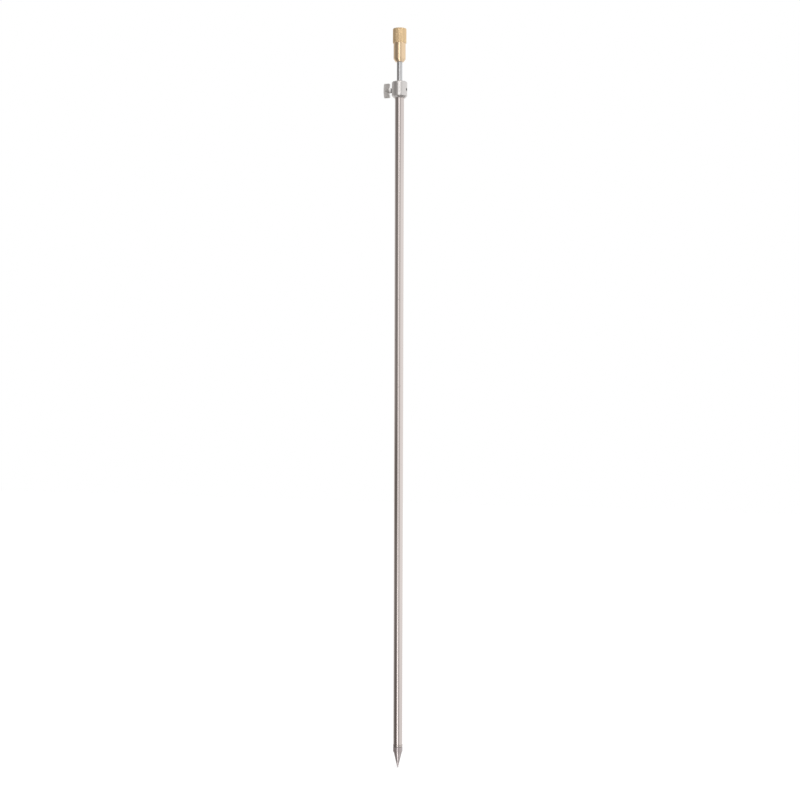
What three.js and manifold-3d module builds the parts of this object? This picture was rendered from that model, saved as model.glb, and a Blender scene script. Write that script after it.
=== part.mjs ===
// A telescopic bank stick: a pointed tube that stands in the ground, a collar with a thumb screw at its top,
// and a sliding rod that carries a threaded brass head.
//
// Millimetres. +Z points up along the stick, and the origin is the tip of the spike. The thumb screw is on
// the -X side of the collar. Each piece is turned about its own axis from height 0, then placed.

import * as THREE from 'three';
import { mergeVertices } from 'three/addons/utils/BufferGeometryUtils.js';
import Module from 'manifold-3d';

// Fits between the pieces, and how far a cutter runs past the face that it opens
const pressGap = 0.05;
const runningGap = 0.1;
const seatGap = 0.05;
const cutOverrun = 1;

// Facets round a large, a small and a fine turned piece
const largeFacets = 32;
const smallFacets = 24;
const fineFacets = 16;

// Inner rod
const rodRadius = 3;
const rodShown = 21.9;
const rodShoulder = 0.8;
const rodChamfer = 0.5;
const rodEndMargin = 0.3;

// Outer tube
const tubeWall = 1;
const tubeLength = 725.7;

// Guide bush in the tube's top end
const topBushWall = 0.85;
const topBushLength = 16;

// Ground spike
const spikeTipRadius = 0.3;
const spikeConeRadius = 4.75;
const spikeConeHeight = 17.5;
const spikeChamferHeight = 0.3;
const spikeShoulderStep = 0.35;
const spikeShoulderHeight = 7.8;
const spikeGrooveHeight = 5.2;
const spikeGrooveWidth = 0.8;
const spikeGrooveDepth = 0.2;
const spikeSpigotLength = 16;
const spikeSpigotChamfer = 0.6;

// Lock collar
const collarWall = 3.45;
const collarHeight = 18;
const collarRoof = 3.3;
const collarTopChamfer = 1;
const collarFootChamfer = 2.2;

// Grub screw that holds the collar on the tube
const grubRadius = 1.5;
const grubRecess = 0.4;
const grubSocketFlats = 1.5;
const grubSocketDepth = 1.3;

// Thumb screw: the stud, the pad at its tip and the wing
const studRadius = 2.5;
const studShankRadius = 1.25;
const studShankEndGap = 2.5;
const tubeStudGap = 0.3;
const padRadius = 1.9;
const padThickness = 1;
const padPegRadius = 0.8;
const padPegLength = 1.4;
const wingStandOff = 3.75;
const wingDepth = 6.25;
const wingSpan = 15.6;
const wingThickness = 3;
const wingBevel = 0.4;
const wingCrown = 0.7;
const wingWaist = 0.8;
const wingWaistHalfSpan = 3.6;
const wingCornerHeight = 1.6;
const wingCornerDepth = 1;
const hubNeckGap = 1.1;
const hubNeckRadius = 2.7;
const hubRadius = 3;
const hubTaperLength = 1.8;
const hubEndRadius = 1.9;
const hubEndInset = 0.5;

// Foot bush and the screw that keeps it on the rod
const footBushLength = 14;
const footBushChamfer = 0.5;
const footScrewHeadRadius = 3.2;
const footScrewHeadHeight = 2;
const footScrewShankRadius = 1.5;
const footScrewShankLength = 8;
const footScrewSlotWidth = 0.8;
const footScrewSlotDepth = 0.9;
const footToSpikeRoom = 18.7;

// Brass head
const socketRadius = 4.15;
const socketDepth = 18;
const socketMouthRadius = 4.9;
const headWall = 2.55;
const headHeight = 36.4;
const headFootChamfer = 2.1;
const headFootHeight = 3;
const headRodDepth = 14;
const knurlStep = 0.8;
const knurlHeight = 16;
const knurlChamfer = 0.5;

// Radii worked out from the rod outwards
const guideBoreRadius = rodRadius + runningGap;
const tubeBoreRadius = guideBoreRadius + topBushWall + pressGap;
const tubeRadius = tubeBoreRadius + tubeWall;
const collarBoreRadius = tubeRadius + pressGap;
const collarRadius = collarBoreRadius + collarWall;
const rodSpigotRadius = rodRadius - rodShoulder;
const headRadius = socketRadius + headWall;
const knurlRadius = headRadius + knurlStep;

// Heights worked out from the spike's tip upwards
const spikeShoulderTop = spikeConeHeight + spikeShoulderHeight;
const tubeBottom = spikeShoulderTop + seatGap;
const tubeTop = tubeBottom + tubeLength;
const collarTop = tubeTop + seatGap + collarRoof;
const collarBottom = collarTop - collarHeight;
const clampHeight = collarBottom + collarHeight / 2;
const headBottom = collarTop + rodShown;
const footScrewBottom = spikeShoulderTop + spikeSpigotLength + footToSpikeRoom + rodShown;
const footBushBottom = footScrewBottom + footScrewHeadHeight + seatGap;
const rodBottom = footBushBottom + seatGap;
const rodShoulderHeight = footBushLength + seatGap;
const rodLength = headBottom + headRodDepth - rodEndMargin - rodBottom;

// Distances from the stick's axis, outwards along the thumb screw
const padFace = rodRadius + runningGap;
const studTip = padFace + padThickness + seatGap;
const wingInner = collarRadius + wingStandOff;
const wingOuter = wingInner + wingDepth;
const hubNeck = collarRadius + hubNeckGap;

const steel = { color: 0xb9b4b0, roughness: 0.22, metalness: 1 };
const darkSteel = { color: 0x9a948f, roughness: 0.42, metalness: 1 };
const plated = { color: 0xc4c0bc, roughness: 0.3, metalness: 1 };
const zinc = { color: 0xb4b4b4, roughness: 0.35, metalness: 1 };
const brass = { color: 0xcaa875, roughness: 0.28, metalness: 1 };
const nylon = { color: 0x2a2a2b, roughness: 0.6, metalness: 0 };

const wasm = await Module();
wasm.setup();

// A closed surface with its shared corners merged and its folded triangles left out
function closeSurface(geometry) {
  const bare = geometry.clone();
  bare.deleteAttribute('normal');
  bare.deleteAttribute('uv');
  const merged = mergeVertices(bare);
  const corners = merged.index.array;
  const kept = [];
  for (let i = 0; i < corners.length; i += 3) {
    const [a, b, c] = corners.slice(i, i + 3);
    if (a !== b && b !== c && c !== a) kept.push(a, b, c);
  }
  merged.setIndex(kept);
  merged.computeVertexNormals();
  return merged;
}

function toSolid(geometry) {
  const closed = closeSurface(geometry);
  const vertProperties = new Float32Array(closed.attributes.position.array);
  const triVerts = new Uint32Array(closed.index.array);
  return new wasm.Manifold(new wasm.Mesh({ numProp: 3, vertProperties, triVerts }));
}

function toGeometry(solid) {
  const mesh = solid.getMesh();
  const geometry = new THREE.BufferGeometry();
  geometry.setAttribute('position', new THREE.BufferAttribute(mesh.vertProperties, 3));
  geometry.setIndex(new THREE.BufferAttribute(mesh.triVerts, 1));
  geometry.computeVertexNormals();
  return geometry;
}

function cut(geometry, ...cutters) {
  const left = cutters.reduce((solid, cutter) => solid.subtract(toSolid(cutter)), toSolid(geometry));
  return toGeometry(left);
}

// A piece turned about Z, from a profile of [radius, height] points that goes round anticlockwise
function turned(profile, facets) {
  const points = profile.map(([radius, height]) => new THREE.Vector2(radius, height));
  return closeSurface(new THREE.LatheGeometry(points, facets).rotateX(Math.PI / 2));
}

// A round cutter along Z between two heights
function roundCutter(radius, from, to, facets) {
  const length = to - from;
  const cylinder = new THREE.CylinderGeometry(radius, radius, length, facets);
  return cylinder.rotateX(Math.PI / 2).translate(0, 0, from + length / 2);
}

// Turns a shape along Z so that it points out along -X (side -1) or +X (side 1) at a height
function sideways(geometry, side, height) {
  return geometry.rotateY((side * Math.PI) / 2).translate(0, 0, height);
}

function piece(name, geometry, look, height = 0) {
  const mesh = new THREE.Mesh(geometry, new THREE.MeshStandardMaterial(look));
  mesh.name = name;
  mesh.position.z = height;
  return mesh;
}

// Cone, small chamfer, grooved shoulder, and the spigot that goes up into the tube
function groundSpike() {
  const shoulder = tubeRadius + spikeShoulderStep;
  const spigot = tubeBoreRadius - pressGap;
  const spigotTop = spikeShoulderTop + spikeSpigotLength;
  const grooveBottom = spikeConeHeight + spikeGrooveHeight;
  const grooveTop = grooveBottom + spikeGrooveWidth;
  const grooveFloor = shoulder - spikeGrooveDepth;
  return turned([
    [0, 0],
    [spikeTipRadius, 0],
    [spikeConeRadius, spikeConeHeight],
    [shoulder, spikeConeHeight + spikeChamferHeight],
    [shoulder, grooveBottom],
    [grooveFloor, grooveBottom + spikeGrooveDepth],
    [grooveFloor, grooveTop - spikeGrooveDepth],
    [shoulder, grooveTop],
    [shoulder, spikeShoulderTop],
    [spigot, spikeShoulderTop],
    [spigot, spigotTop - spikeSpigotChamfer],
    [spigot - spikeSpigotChamfer, spigotTop],
    [0, spigotTop],
  ], largeFacets);
}

// Tube with a hole for the thumb screw near its top
function outerTube() {
  const tube = turned([
    [tubeBoreRadius, 0],
    [tubeRadius, 0],
    [tubeRadius, tubeLength],
    [tubeBoreRadius, tubeLength],
    [tubeBoreRadius, 0],
  ], largeFacets);
  const hole = roundCutter(studRadius + tubeStudGap, rodRadius, tubeRadius + cutOverrun, smallFacets);
  return cut(tube, sideways(hole, -1, clampHeight - tubeBottom));
}

function topBush() {
  const outer = tubeBoreRadius - pressGap;
  const bush = turned([
    [guideBoreRadius, 0],
    [outer, 0],
    [outer, topBushLength],
    [guideBoreRadius, topBushLength],
    [guideBoreRadius, 0],
  ], largeFacets);
  const hole = roundCutter(padRadius + runningGap, rodRadius - rodShoulder, tubeRadius, smallFacets);
  return cut(bush, sideways(hole, -1, clampHeight - (tubeTop - topBushLength)));
}

// Collar bored from below for the tube and through its roof for the rod, with two holes through its side
function lockCollar() {
  const roofBottom = collarHeight - collarRoof;
  const collar = turned([
    [collarBoreRadius, 0],
    [collarRadius - collarFootChamfer, 0],
    [collarRadius, collarFootChamfer],
    [collarRadius, collarHeight - collarTopChamfer],
    [collarRadius - collarTopChamfer, collarHeight],
    [guideBoreRadius, collarHeight],
    [guideBoreRadius, roofBottom],
    [collarBoreRadius, roofBottom],
    [collarBoreRadius, 0],
  ], largeFacets * 2);
  const from = collarBoreRadius - cutOverrun;
  const to = collarRadius + cutOverrun;
  const studHole = roundCutter(studRadius + runningGap, from, to, smallFacets);
  const grubHole = roundCutter(grubRadius + runningGap, from, to, smallFacets);
  const middle = clampHeight - collarBottom;
  return cut(collar, sideways(studHole, -1, middle), sideways(grubHole, 1, middle));
}

function collarGrubScrew() {
  const from = tubeRadius + runningGap;
  const to = collarRadius - grubRecess;
  const body = roundCutter(grubRadius, from, to, smallFacets);
  const socketRadiusAtCorners = grubSocketFlats / Math.sqrt(3);
  const socket = roundCutter(socketRadiusAtCorners, to - grubSocketDepth, to + cutOverrun, 6);
  return sideways(cut(body, socket), 1, 0);
}

// Rod with a stepped lower end for its bush, drilled for the screw that keeps the bush on
function innerRod() {
  const rod = turned([
    [0, 0],
    [rodSpigotRadius, 0],
    [rodSpigotRadius, rodShoulderHeight],
    [rodRadius, rodShoulderHeight],
    [rodRadius, rodLength - rodChamfer],
    [rodRadius - rodChamfer, rodLength],
    [0, rodLength],
  ], largeFacets);
  const depth = footScrewShankLength + rodEndMargin;
  return cut(rod, roundCutter(footScrewShankRadius + pressGap, -cutOverrun, depth, fineFacets));
}

function footBush() {
  const outer = tubeBoreRadius - runningGap;
  const inner = rodSpigotRadius + runningGap;
  return turned([
    [inner, 0],
    [outer - footBushChamfer, 0],
    [outer, footBushChamfer],
    [outer, footBushLength - footBushChamfer],
    [outer - footBushChamfer, footBushLength],
    [inner, footBushLength],
    [inner, 0],
  ], largeFacets);
}

function footScrew() {
  const shankTop = footScrewHeadHeight + footScrewShankLength;
  const screw = turned([
    [0, 0],
    [footScrewHeadRadius - footScrewSlotDepth, 0],
    [footScrewHeadRadius, footScrewSlotDepth],
    [footScrewHeadRadius, footScrewHeadHeight],
    [footScrewShankRadius, footScrewHeadHeight],
    [footScrewShankRadius, shankTop],
    [0, shankTop],
  ], fineFacets);
  const slotLength = 2 * (footScrewHeadRadius + cutOverrun);
  const slot = new THREE.BoxGeometry(slotLength, footScrewSlotWidth, 2 * footScrewSlotDepth);
  return cut(screw, slot);
}

// Brass head: chamfered foot, smooth part, wider knurled band, threaded socket above and rod bore below
function screwHead() {
  const bandBottom = headHeight - knurlHeight;
  const mouthDepth = socketMouthRadius - socketRadius;
  const rodBore = rodRadius + pressGap;
  return turned([
    [0, headRodDepth],
    [rodBore, headRodDepth],
    [rodBore, 0],
    [headRadius - headFootChamfer, 0],
    [headRadius, headFootHeight],
    [headRadius, bandBottom],
    [knurlRadius - knurlChamfer, bandBottom],
    [knurlRadius, bandBottom + knurlChamfer],
    [knurlRadius, headHeight - knurlChamfer],
    [knurlRadius - knurlChamfer, headHeight],
    [socketMouthRadius, headHeight],
    [socketRadius, headHeight - mouthDepth],
    [socketRadius, headHeight - socketDepth],
    [0, headHeight - socketDepth],
  ], largeFacets * 2);
}

// Pad that faces the rod, with the peg on which the stud turns
function clampPad() {
  const pegTop = padThickness + padPegLength;
  return turned([
    [0, 0],
    [padRadius, 0],
    [padRadius, padThickness],
    [padPegRadius, padThickness],
    [padPegRadius, pegTop],
    [0, pegTop],
  ], smallFacets);
}

// Stud: hollow tip for the pad's peg, threaded length, and the shank inside the wing's hub
function thumbScrewStud() {
  const recess = padPegRadius + runningGap;
  const recessDepth = padPegLength + runningGap;
  const threadLength = hubNeck - studTip;
  const length = wingOuter - studShankEndGap - studTip;
  return turned([
    [0, recessDepth],
    [recess, recessDepth],
    [recess, 0],
    [studRadius, 0],
    [studRadius, threadLength - seatGap],
    [studShankRadius, threadLength - seatGap],
    [studShankRadius, length],
    [0, length],
  ], smallFacets);
}

// Outline of the wing's blade: X runs across the blade, Y outwards from the stick
function bladeOutline() {
  const half = wingSpan / 2;
  const cornerInner = wingInner + wingCornerDepth;
  const waistInner = wingInner + wingWaist;
  const bulge = half - wingCornerHeight;
  const outline = new THREE.Shape();
  outline.moveTo(-half, wingOuter - wingCrown);
  outline.lineTo(-half, cornerInner);
  outline.quadraticCurveTo(-half, wingInner, -bulge, wingInner);
  outline.quadraticCurveTo(-wingWaistHalfSpan, wingInner, -wingWaistHalfSpan, waistInner);
  outline.lineTo(wingWaistHalfSpan, waistInner);
  outline.quadraticCurveTo(wingWaistHalfSpan, wingInner, bulge, wingInner);
  outline.quadraticCurveTo(half, wingInner, half, cornerInner);
  outline.lineTo(half, wingOuter - wingCrown);
  outline.quadraticCurveTo(0, wingOuter + wingCrown, -half, wingOuter - wingCrown);
  return outline;
}

// Wing: a flat blade across a hub that is widest where it meets the blade, and runs on as a low rib in it
function thumbScrewWing() {
  const blade = new THREE.ExtrudeGeometry(bladeOutline(), {
    depth: wingThickness - 2 * wingBevel,
    bevelSize: wingBevel,
    bevelOffset: -wingBevel,
    bevelThickness: wingBevel,
    bevelSegments: 1,
    curveSegments: 6,
  });
  blade.rotateX(Math.PI / 2).translate(0, wingThickness / 2 - wingBevel, 0);
  const hubEnd = wingOuter - hubEndInset;
  const hub = turned([
    [0, hubNeck],
    [hubNeckRadius, hubNeck],
    [hubRadius, wingInner],
    [hubEndRadius, wingInner + hubTaperLength],
    [hubEndRadius, hubEnd],
    [0, hubEnd],
  ], smallFacets);
  const boreEnd = wingOuter - studShankEndGap + runningGap;
  const bore = roundCutter(studShankRadius + runningGap, hubNeck - cutOverrun, boreEnd, smallFacets);
  const wing = toSolid(blade).add(toSolid(hub)).subtract(toSolid(bore));
  return toGeometry(wing);
}

// The tube and what is fixed on it
const fixed = new THREE.Group();
fixed.add(
  piece('ground_spike', groundSpike(), darkSteel),
  piece('outer_tube', outerTube(), steel, tubeBottom),
  piece('top_bush', topBush(), nylon, tubeTop - topBushLength),
  piece('lock_collar', lockCollar(), plated, collarBottom),
  piece('collar_grub_screw', collarGrubScrew(), darkSteel, clampHeight),
);

// The sliding rod and what it carries
const sliding = new THREE.Group();
sliding.add(
  piece('foot_screw', footScrew(), zinc, footScrewBottom),
  piece('foot_bush', footBush(), nylon, footBushBottom),
  piece('inner_rod', innerRod(), zinc, rodBottom),
  piece('screw_head', screwHead(), brass, headBottom),
);

// The thumb screw, built pointing up and laid over so that it points out along -X
const clamp = new THREE.Group();
clamp.position.z = clampHeight;
clamp.rotation.y = -Math.PI / 2;
clamp.add(
  piece('clamp_pad', clampPad(), brass, padFace),
  piece('thumb_screw_stud', thumbScrewStud(), zinc, studTip),
  piece('thumb_screw_wing', thumbScrewWing(), plated),
);

const bankStick = new THREE.Group();
bankStick.add(fixed, sliding, clamp);

export default bankStick;
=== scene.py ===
# %% [markdown]
# # A telescopic bank stick
#
# A bank stick holds up one end of a fishing rod at the water's edge. The real one is lathe work from end
# to end: a steel point, a long stainless tube, a collar with a thumb screw, a thinner rod that slides in
# the tube, and a brass head with a threaded socket for the rod rest.
#
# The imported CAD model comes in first, as a fixed frame. Nothing in this file moves a CAD part. It asks
# the frame where a part is, and then makes a finer piece in the same place, or gives the part a better
# finish.

# %% Load the frame
import math

import bpy
from mathutils import Matrix, Vector


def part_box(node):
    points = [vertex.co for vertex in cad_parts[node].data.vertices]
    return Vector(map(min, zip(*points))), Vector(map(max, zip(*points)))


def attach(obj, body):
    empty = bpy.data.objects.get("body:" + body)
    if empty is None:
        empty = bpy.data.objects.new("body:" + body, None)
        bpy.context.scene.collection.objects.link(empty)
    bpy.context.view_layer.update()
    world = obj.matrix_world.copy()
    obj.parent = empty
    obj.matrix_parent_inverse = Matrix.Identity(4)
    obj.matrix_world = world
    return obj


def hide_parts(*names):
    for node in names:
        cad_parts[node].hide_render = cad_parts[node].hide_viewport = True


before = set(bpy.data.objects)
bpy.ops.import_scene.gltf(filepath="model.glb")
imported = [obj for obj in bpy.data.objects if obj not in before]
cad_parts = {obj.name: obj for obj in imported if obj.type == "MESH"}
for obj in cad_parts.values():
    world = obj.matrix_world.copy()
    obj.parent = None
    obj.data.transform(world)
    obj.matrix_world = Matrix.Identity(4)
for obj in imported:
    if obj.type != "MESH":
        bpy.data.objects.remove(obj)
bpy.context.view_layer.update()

# %% [markdown]
# ## Sizes in millimetres
#
# Lathe work is drawn in millimetres, and Blender counts in metres. One factor turns the first into the
# second when a mesh is made. The heights are asked from the frame, so a piece always stands where its CAD
# part stands.

# %% Heights along the stick
MM = 0.001


def span(node, axis="z"):
    """Where a CAD node starts and ends along an axis, in millimetres."""
    low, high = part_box(node)
    return getattr(low, axis) / MM, getattr(high, axis) / MM


spike_bottom, spigot_top = span("ground_spike")
tube_bottom, tube_top = span("outer_tube")
collar_bottom, collar_top = span("lock_collar")
rod_bottom, rod_top = span("inner_rod")
head_bottom, head_top = span("screw_head")
clamp_height = sum(span("thumb_screw_stud")) / 2
stick_middle = (spike_bottom + head_top) / 2
print(f"tube {tube_bottom:.2f} to {tube_top:.2f} mm, head top {head_top:.2f} mm")
print(f"thumb screw at {clamp_height:.2f} mm")

# %% [markdown]
# ## Where the camera stands
#
# The photograph is taken with a long lens, level with the middle of the stick. That can be read from the
# turned edges: the rim of the head bows upwards, so it is seen from below, and the joint at the spike
# bows downwards, so it is seen from above. The thumb screw points a little away from the lens, which puts
# the camera 22 degrees round to the right of the stick's front. The stick leans a sixth of a degree in
# the picture, so the camera is rolled by that much and the stick stays upright.

# %% Camera
CAMERA_TURN = math.radians(22)
CAMERA_DISTANCE = 1.68
CAMERA_HEIGHT = 0.4043
CAMERA_SIDESTEP = 0.00145
CAMERA_ROLL = math.radians(0.16)
SENSOR_WIDTH, LENS_LENGTH = 36, 68.7

to_camera = Vector((math.sin(CAMERA_TURN), -math.cos(CAMERA_TURN), 0))
to_right = Vector((math.cos(CAMERA_TURN), math.sin(CAMERA_TURN), 0))

camera_data = bpy.data.cameras.new("camera")
camera_data.sensor_width = SENSOR_WIDTH
camera_data.lens = LENS_LENGTH
camera = bpy.data.objects.new("camera", camera_data)
bpy.context.scene.collection.objects.link(camera)
place = to_camera * CAMERA_DISTANCE + to_right * CAMERA_SIDESTEP + Vector((0, 0, CAMERA_HEIGHT))
aim = (-to_camera).to_track_quat("-Z", "Y").to_matrix().to_4x4()
camera.matrix_world = Matrix.Translation(place) @ aim @ Matrix.Rotation(CAMERA_ROLL, 4, "Z")
bpy.context.scene.camera = camera
bpy.context.scene.view_settings.view_transform = "Standard"
print("camera at", [round(x, 3) for x in place])

# %% [markdown]
# ## Node trees written as sums
#
# A finish is a tree of nodes, and so is a shape made with Geometry Nodes. Adding each Math node by hand
# takes a dozen lines for one sum. A `Wire` stands for a value that runs between nodes, and sums written
# with it in plain Python add the Math nodes.

# %% Wires
class Wire:
    """A value that runs between nodes."""

    def __init__(self, bench, socket):
        self.bench, self.socket = bench, socket

    def of(self, output):
        """Another output of the node that this value comes from."""
        return Wire(self.bench, self.socket.node.outputs[output])

    def math(self, operation, *values, clamp=False):
        """A Math node. Without values it works on this wire alone."""
        values = values or (self,)
        return self.bench.node(
            "ShaderNodeMath", {"operation": operation, "use_clamp": clamp}, dict(enumerate(values))
        )

    def __add__(self, other):
        return self.math("ADD", self, other)

    def __radd__(self, other):
        return self.math("ADD", other, self)

    def __sub__(self, other):
        return self.math("SUBTRACT", self, other)

    def __rsub__(self, other):
        return self.math("SUBTRACT", other, self)

    def __mul__(self, other):
        return self.math("MULTIPLY", self, other)

    def __rmul__(self, other):
        return self.math("MULTIPLY", other, self)

    def __truediv__(self, other):
        return self.math("DIVIDE", self, other)

    def __rtruediv__(self, other):
        return self.math("DIVIDE", other, self)

    def least(self, other):
        """The smaller of two values."""
        return self.math("MINIMUM", self, other)

    def most(self, other):
        """The larger of two values."""
        return self.math("MAXIMUM", self, other)

    def clamped(self):
        """This value, kept between 0 and 1."""
        return self.math("ADD", self, 0, clamp=True)

    def rise(self, start, end):
        """0 before start, 1 after end, and a soft step between them."""
        return self.bench.node(
            "ShaderNodeMapRange",
            {"interpolation_type": "SMOOTHSTEP"},
            {"Value": self, "From Min": start, "From Max": end},
        )


print("wires ready")

# %% [markdown]
# Every other node comes from a bench, which holds the tree that is being built. Its `node` method takes a
# node's kind, its settings, and what goes into its sockets. The settings come first, because some of them
# change which sockets a node has.

# %% Bench
class Bench:
    """A node tree that is being built."""

    def __init__(self, tree):
        self.tree = tree
        tree.nodes.clear()

    def node(self, kind, settings=None, inputs=None, output=0):
        """Adds a node: its settings, then its sockets' values or wires. Gives one output as a wire."""
        made = self.tree.nodes.new(kind)
        for name, value in (settings or {}).items():
            if name == "stops":
                self.set_stops(made.color_ramp, value)
            else:
                setattr(made, name, value)
        for name, value in (inputs or {}).items():
            if isinstance(value, Wire):
                self.tree.links.new(value.socket, made.inputs[name])
            else:
                made.inputs[name].default_value = value
        return Wire(self, made.outputs[output]) if len(made.outputs) else None

    def set_stops(self, ramp, stops):
        """Gives a colour ramp its grey stops, as (place, level) pairs."""
        while len(ramp.elements) > 1:
            ramp.elements.remove(ramp.elements[-1])
        for number, (at, level) in enumerate(stops):
            stop = ramp.elements[0] if number == 0 else ramp.elements.new(at)
            stop.position = at
            stop.color = (level, level, level, 1)

    def axes(self, vector):
        """The three numbers in a vector."""
        x = self.node("ShaderNodeSeparateXYZ", inputs={0: vector})
        return x, x.of("Y"), x.of("Z")

    def own_axes(self):
        """Where a spot lies on the piece itself, in metres along its three axes."""
        return self.axes(self.node("ShaderNodeTexCoord", output="Object"))

    def tint(self, amount, first, second):
        """A colour between two others."""
        return self.node("ShaderNodeMix", {"data_type": "RGBA"}, {0: amount, 6: first, 7: second}, output=2)


print("bench ready")

# %% [markdown]
# ## A white studio
#
# The object was photographed on plain white. The world is white for what the camera, the metal and any
# glass see, at a strength of 1, and a little lower for the light it gives.
#
# Light is taken from the world along the rays that the surfaces send out, so a metal always sees the same
# studio, however it is lit.

# %% World
WHITE = (1, 1, 1, 1)
WORLD_GIVEN, WORLD_SEEN = 0.9, 1.0

world = bpy.data.worlds.new("white studio")
world.use_nodes = True
world.cycles.sampling_method = "NONE"
bpy.context.scene.world = world
bench = Bench(world.node_tree)
ray = bench.node("ShaderNodeLightPath", output="Is Camera Ray")
seen = (ray + ray.of("Is Glossy Ray") + ray.of("Is Transmission Ray")).least(1)
given = bench.node("ShaderNodeBackground", inputs={"Color": WHITE, "Strength": WORLD_GIVEN})
shown = bench.node("ShaderNodeBackground", inputs={"Color": WHITE, "Strength": WORLD_SEEN})
both = bench.node("ShaderNodeMixShader", inputs={0: seen, 1: given, 2: shown})
bench.node("ShaderNodeOutputWorld", inputs={"Surface": both})
print("world gives", WORLD_GIVEN, "and is seen at", WORLD_SEEN)

# %% [markdown]
# The floor is pale and dull. A touch of glow that only the camera sees brings it up to white, and the
# shadow at the foot stays on it.

# %% Floor
HALF_FLOOR = 4
FLOOR_LIFT = 0.2


def stage_sheet(name, points, faces):
    """A mesh of the studio, which isn't part of the object."""
    mesh = bpy.data.meshes.new(name)
    mesh.from_pydata(points, [], faces)
    sheet = bpy.data.objects.new(name, mesh)
    bpy.context.scene.collection.objects.link(sheet)
    return sheet


floor = stage_sheet(
    "floor",
    [(x * HALF_FLOOR, y * HALF_FLOOR, 0) for x, y in ((-1, -1), (1, -1), (1, 1), (-1, 1))],
    [(0, 1, 2, 3)],
)
floor.visible_glossy = False
pale = bpy.data.materials.new("pale floor")
pale.use_nodes = True
bench = Bench(pale.node_tree)
ray = bench.node("ShaderNodeLightPath", output="Is Camera Ray")
grain = bench.node("ShaderNodeTexNoise", inputs={"Scale": 40.0, "Detail": 2.0})
surface = bench.node(
    "ShaderNodeBsdfPrincipled",
    inputs={
        "Base Color": bench.tint(grain, (0.9, 0.9, 0.9, 1), (0.92, 0.92, 0.92, 1)),
        "Roughness": 0.9,
        "Specular IOR Level": 0.0,
    },
)
lift = bench.node("ShaderNodeEmission", inputs={"Color": ray * FLOOR_LIFT, "Strength": 1.0})
both = bench.node("ShaderNodeAddShader", inputs={0: surface, 1: lift})
bench.node("ShaderNodeOutputMaterial", inputs={"Surface": both})
floor.data.materials.append(pale)
print("floor", 2 * HALF_FLOOR, "m square")

# %% [markdown]
# ## What the metal sees
#
# Polished metal has almost no look of its own: it shows the room. In the photograph the tube is white at
# its right, dark at its left, and has one thin bright line just left of the middle. So the studio has a
# broad dark flag at the left of the camera, which reaches round behind the stick, a second one straight
# below, a fainter one high up behind, and a tall bright strip beside the lens.
#
# The flags hang on a tent round the stick. Where a flag is, the tent is dark, and everywhere else it is
# clear, so the white world shows through. Only the metal sees the tent.

# %% Tent
TENT_RADIUS = 5
TENT_STEP = 7.5


def even_angles(start, end, step):
    """Degrees from start to end, in even steps."""
    return [start + step * k for k in range(round((end - start) / step) + 1)]


def shell(name, radius, turns, climbs):
    """A sheet bent round the stick, seen by the metal alone. Its angles are degrees from the camera."""
    points = []
    for climb in map(math.radians, climbs):
        for turn in map(math.radians, turns):
            out = (to_camera * math.cos(turn) + to_right * math.sin(turn)) * math.cos(climb)
            points.append(out * radius + Vector((0, 0, radius * math.sin(climb) + stick_middle * MM)))
    wide = len(turns)
    faces = [
        (k, k + wide, k + wide + 1, k + 1)
        for row in range(len(climbs) - 1)
        for k in range(row * wide, (row + 1) * wide - 1)
    ]
    sheet = stage_sheet(name, points, faces)
    for kind in ("camera", "diffuse", "transmission", "volume_scatter", "shadow"):
        setattr(sheet, "visible_" + kind, False)
    print(name, len(faces), "faces")
    return sheet


tent = shell("tent", TENT_RADIUS, even_angles(-180, 180, TENT_STEP), even_angles(-90, 90, TENT_STEP))

# %% [markdown]
# The ramp of the left flag runs once round the stick, from straight behind it, over the left, the camera
# and the right, to straight behind it again. The flag is denser in some bands than in others, because the
# tube's dark side is darkest just below its middle.

# %% Dark flags
FLAG_COLOUR = (0.075, 0.06, 0.05, 1)
left_flag = [
    (-180, 0.0), (-150, 0.04), (-132, 0.22), (-114, 0.58), (-100, 0.74), (-85, 0.84),
    (-70, 0.9), (-50, 0.88), (-38, 0.76), (-28, 0.57), (-18, 0.44), (0, 0.4),
    (24, 0.46), (32, 0.26), (42, 0.07), (52, 0.0), (180, 0.0),
]

cloth = bpy.data.materials.new("tent cloth")
cloth.use_nodes = True
cloth.cycles.emission_sampling = "NONE"
bench = Bench(cloth.node_tree)
x, y, z = bench.own_axes()
rightwards = (x * to_right.x + y * to_right.y) / TENT_RADIUS
forwards = (x * to_camera.x + y * to_camera.y) / TENT_RADIUS
upwards = (z - stick_middle * MM) / TENT_RADIUS
downwards = 0 - upwards
turn = rightwards.math("ARCTAN2", rightwards, forwards) / math.tau + 0.5
places = [((degrees + 180) / 360, level) for degrees, level in left_flag]
round_the_stick = bench.node("ShaderNodeValToRGB", {"stops": places}, {"Fac": turn})
upright = 1 - upwards.math("ABSOLUTE").rise(0.72, 0.95)
density = 0.9 + downwards.rise(0.0, 0.045) * 0.18 - downwards.rise(0.09, 0.14) * 0.11
density += downwards.rise(0.18, 0.24) * 0.07 + upwards.rise(0.1, 0.16) * 0.03
side = round_the_stick * upright * density
under = downwards.rise(0.66, 0.84) * (1 - forwards.rise(0.3, 0.5))
behind = downwards.rise(0.35, 0.6) * (0 - forwards).rise(0.1, 0.4)
low = under.most(behind) * rightwards.rise(-0.55, -0.3) * 0.92
high = (upwards * 0.75 - rightwards * 0.35 - forwards * 0.55).rise(0.6, 0.95) * 0.6
clear = bench.node("ShaderNodeBsdfTransparent")
black = bench.node("ShaderNodeEmission", inputs={"Color": FLAG_COLOUR, "Strength": 1.0})
flags = bench.node("ShaderNodeMixShader", inputs={0: side.most(low).most(high), 1: clear, 2: black})
bench.node("ShaderNodeOutputMaterial", inputs={"Surface": flags})
tent.data.materials.append(cloth)
print("left flag:", len(left_flag), "stops round the stick")

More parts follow.
